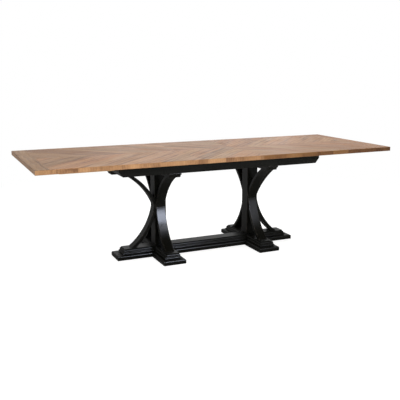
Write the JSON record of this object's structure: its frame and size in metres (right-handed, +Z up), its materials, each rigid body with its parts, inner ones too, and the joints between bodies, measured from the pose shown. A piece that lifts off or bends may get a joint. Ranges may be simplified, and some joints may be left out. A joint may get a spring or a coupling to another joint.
{
  "type": "extending table",
  "caption": "Long dining table with a chevron-planked top whose halves slide apart for a loose leaf, on pedestals with curved brackets and moulded foot boards.",
  "frame": {"origin": "on the floor under the middle of the table, at the foot of the middle glide", "axes": "+X along the table to the right half, +Y across it to the back, +Z up"},
  "size_m": [2.675, 0.961, 0.762],
  "materials": {
    "painted_wood": "black satin paint on wood",
    "top_wood": "greyish brown wood in planks of differing tone, matt lacquer",
    "plain_wood": "plain hardwood, waxed",
    "steel": "zinc-plated",
    "nylon": "moulded nylon"
  },
  "bodies": {
    "base": {"plinth_stretcher_board": "painted_wood", "left_plinth_cross_board": "painted_wood", "left_plinth_outer_board": "painted_wood", "right_plinth_cross_board": "painted_wood", "right_plinth_outer_board": "painted_wood", "moulded_stretcher_board": "painted_wood", "left_moulded_cross_board": "painted_wood", "left_moulded_outer_board": "painted_wood", "right_moulded_cross_board": "painted_wood", "right_moulded_outer_board": "painted_wood", "floor_glides": "nylon", "left_column": "painted_wood", "left_front_lower_bracket": "painted_wood", "left_back_lower_bracket": "painted_wood", "left_outer_lower_bracket": "painted_wood", "left_front_upper_bracket": "painted_wood", "left_back_upper_bracket": "painted_wood", "left_outer_upper_bracket": "painted_wood", "left_cross_bearer": "painted_wood", "left_outer_bearer": "painted_wood", "right_column": "painted_wood", "right_front_lower_bracket": "painted_wood", "right_back_lower_bracket": "painted_wood", "right_outer_lower_bracket": "painted_wood", "right_front_upper_bracket": "painted_wood", "right_back_upper_bracket": "painted_wood", "right_outer_upper_bracket": "painted_wood", "right_cross_bearer": "painted_wood", "right_outer_bearer": "painted_wood", "bearer_bolts": "steel", "front_side_rail": "painted_wood", "back_side_rail": "painted_wood", "left_end_rail": "painted_wood", "right_end_rail": "painted_wood", "middle_cross_rail": "plain_wood", "left_cross_rail": "plain_wood", "right_cross_rail": "plain_wood", "corner_blocks": "plain_wood", "front_fixed_track": "plain_wood", "back_fixed_track": "plain_wood", "pinion_pins": "steel"},
    "left_half": {"left_top_planks": "top_wood", "left_end_board": "top_wood", "left_end_cleat": "plain_wood", "left_leaf_pins": "plain_wood", "left_front_runner": "plain_wood", "left_back_runner": "plain_wood", "left_racks": "nylon"},
    "right_half": {"right_top_planks": "top_wood", "right_end_board": "top_wood", "right_end_cleat": "plain_wood", "right_leaf_pins": "plain_wood", "right_front_runner": "plain_wood", "right_back_runner": "plain_wood", "right_racks": "nylon"},
    "leaf": {"leaf_planks": "top_wood", "leaf_battens": "plain_wood"},
    "front_gear": {"front_pinion": "nylon"},
    "back_gear": {"back_pinion": "nylon"}
  },
  "joints": [
    {"name": "left_half_slide", "type": "slide", "parent": "base", "child": "left_half", "axis": [-1, 0, 0], "range_m": [0, 0.03]},
    {"name": "right_half_slide", "type": "slide", "parent": "base", "child": "right_half", "axis": [1, 0, 0], "range_m": [0, 0.03]},
    {"name": "front_pinion_turn", "type": "hinge", "parent": "base", "child": "front_gear", "pos_m": [0, -0.194, 0.721], "axis": [0, 0, 1], "range_deg": [-82, 0]},
    {"name": "back_pinion_turn", "type": "hinge", "parent": "base", "child": "back_gear", "pos_m": [0, 0.194, 0.721], "axis": [0, 0, 1], "range_deg": [0, 82]},
    {"name": "leaf_lift", "type": "slide", "parent": "base", "child": "leaf", "axis": [0, 0, 1], "range_m": [0, 0.12]}
  ],
  "couplings": [
    {"joint": "right_half_slide", "follows": "left_half_slide", "ratio": 1},
    {"joint": "front_pinion_turn", "follows": "left_half_slide", "rad_per_m": -47.619},
    {"joint": "back_pinion_turn", "follows": "left_half_slide", "rad_per_m": 47.619}
  ]
}
